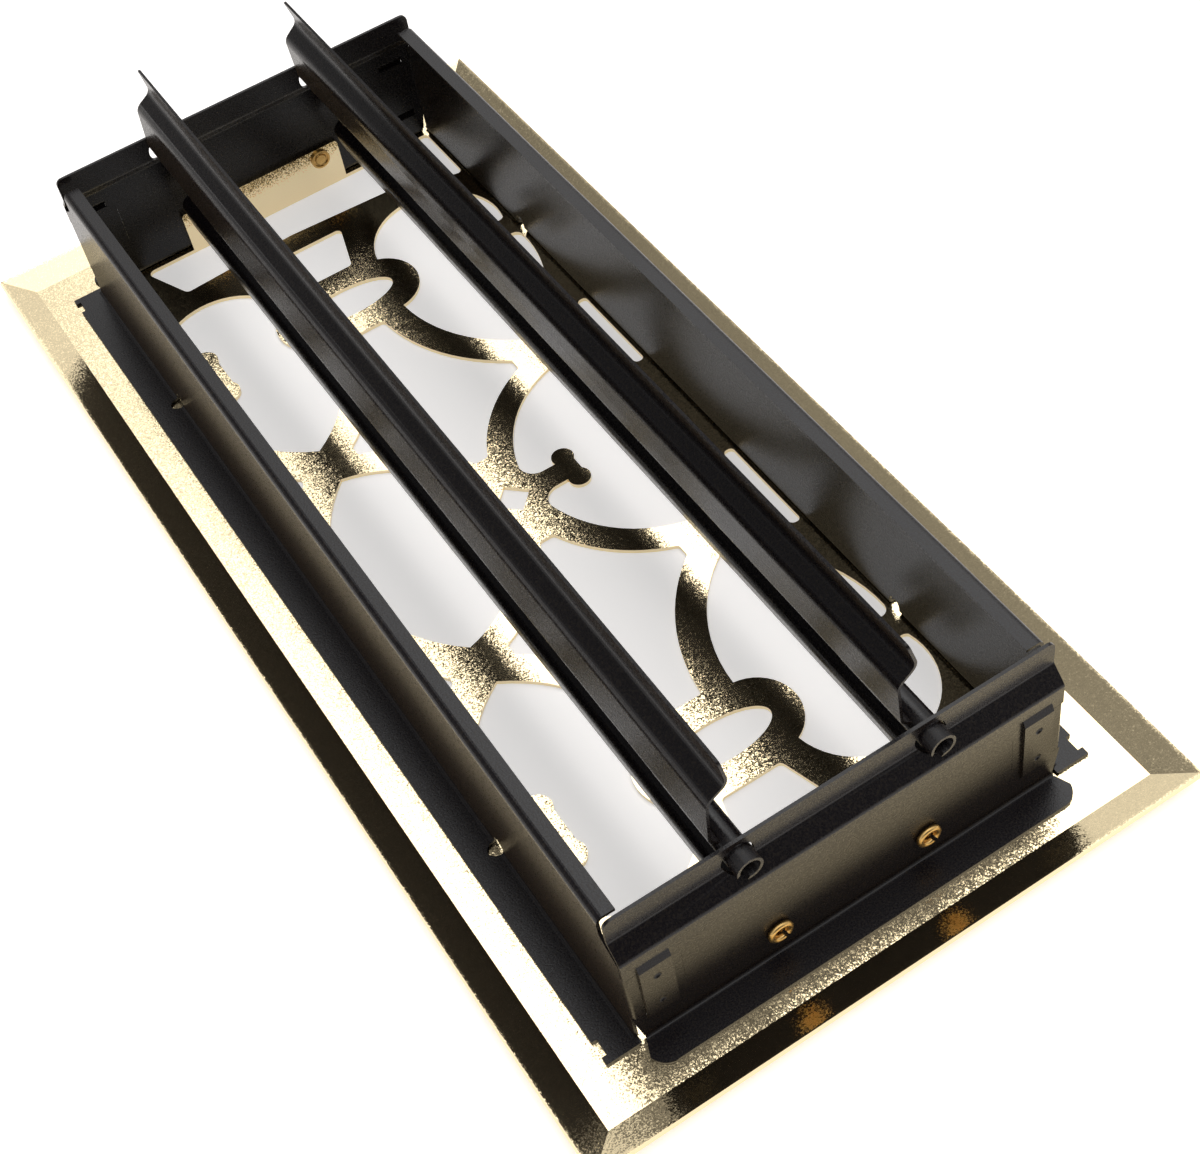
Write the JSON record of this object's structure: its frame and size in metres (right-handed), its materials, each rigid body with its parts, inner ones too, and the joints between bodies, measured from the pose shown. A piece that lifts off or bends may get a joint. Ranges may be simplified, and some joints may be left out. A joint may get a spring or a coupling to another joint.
{
  "type": "louvred floor register",
  "caption": "Louvred air grille: a stamped brass scroll face plate with a sloped rim, a folded black damper box riveted to its back, and turning louvre blades that shut off the air.",
  "frame": {"origin": "middle of the register's outline, on the plane of the face plate's front, which lies on the table", "axes": "+X along the length towards the near end in the picture, +Y towards the right side wall, +Z from the face plate's front up through the damper box"},
  "size_m": [0.284, 0.135, 0.0585],
  "materials": {
    "brass_face": "pale polished brass plate on stamped sheet",
    "black_box": "satin black paint on folded sheet",
    "black_blade": "satin black paint on folded sheet",
    "brass_rivet": "brass tubular rivet"
  },
  "bodies": {
    "register": {"face_plate": "brass_face", "near_end_plate": "black_box", "far_end_plate": "black_box", "left_wall": "black_box", "right_wall": "black_box", "near_left_rivet": "brass_rivet", "near_right_rivet": "brass_rivet", "far_left_rivet": "brass_rivet", "far_right_rivet": "brass_rivet"},
    "left_louvre": {"left_blade": "black_blade"},
    "right_louvre": {"right_blade": "black_blade"}
  },
  "joints": [
    {"name": "left_louvre_turn", "type": "hinge", "parent": "register", "child": "left_louvre", "pos_m": [0, -0.02038, 0.034], "axis": [1, 0, 0], "range_deg": [-15, 80]},
    {"name": "right_louvre_turn", "type": "hinge", "parent": "register", "child": "right_louvre", "pos_m": [0, 0.02038, 0.034], "axis": [1, 0, 0], "range_deg": [-15, 85]}
  ]
}
